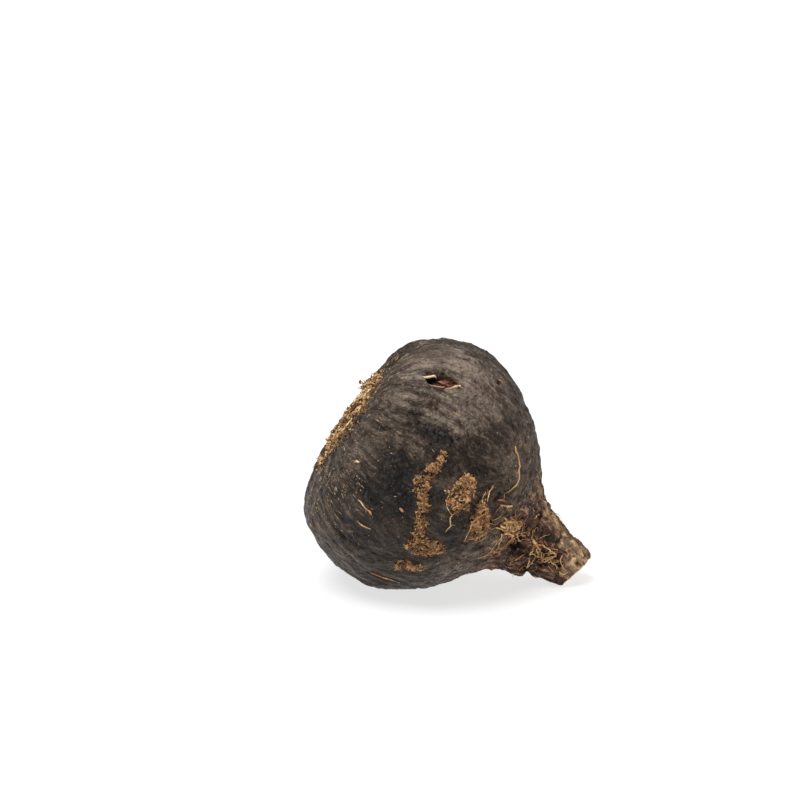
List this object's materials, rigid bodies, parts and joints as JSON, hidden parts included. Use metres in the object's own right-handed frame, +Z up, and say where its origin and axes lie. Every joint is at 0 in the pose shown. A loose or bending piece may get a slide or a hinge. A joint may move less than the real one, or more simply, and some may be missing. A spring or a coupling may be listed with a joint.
{
  "type": "maca root",
  "caption": "Fresh black maca root with its leaves trimmed off, lying on its side: a pear-shaped dark root with a gnarled tail, a ragged crown, thin side roots and dried soil.",
  "frame": {"origin": "middle of the footprint box, on the surface that the root lies on", "axes": "+Z is up. +X runs along the root as it lies, from the crown end to the tail end. The axis of the root dips 34.5 degrees from the crown, up and towards -X, to the tail, down and towards +X."},
  "size_m": [0.0534, 0.0484, 0.0463],
  "materials": {
    "skin": "near-black root skin with a dull sheen, fine rings and tan flecks, brown on the tail",
    "leaf_base": "dry, fibrous straw and brown leaf bases",
    "rootlet": "thin tan root fibre, dull",
    "soil": "crumbly dry ochre-brown soil"
  },
  "bodies": {
    "root": {"root_body": "skin", "leaf_base_01": "leaf_base", "leaf_base_02": "leaf_base", "leaf_base_03": "leaf_base", "leaf_base_04": "leaf_base", "leaf_base_05": "leaf_base", "leaf_base_06": "leaf_base", "leaf_base_07": "leaf_base", "leaf_base_08": "leaf_base", "leaf_base_09": "leaf_base", "leaf_base_10": "leaf_base", "leaf_base_11": "leaf_base", "leaf_base_12": "leaf_base", "leaf_base_13": "leaf_base", "leaf_base_14": "leaf_base", "leaf_base_15": "leaf_base", "leaf_base_16": "leaf_base", "rootlet_01": "rootlet", "rootlet_02": "rootlet", "rootlet_03": "rootlet", "rootlet_04": "rootlet", "rootlet_05": "rootlet", "rootlet_06": "rootlet", "rootlet_07": "rootlet", "rootlet_08": "rootlet", "rootlet_09": "rootlet", "rootlet_10": "rootlet", "rootlet_11": "rootlet", "rootlet_12": "rootlet", "soil_crust_furrow": "soil", "soil_crust_belly": "soil", "soil_crust_oval": "soil", "soil_crust_neck": "soil"}
  },
  "joints": []
}
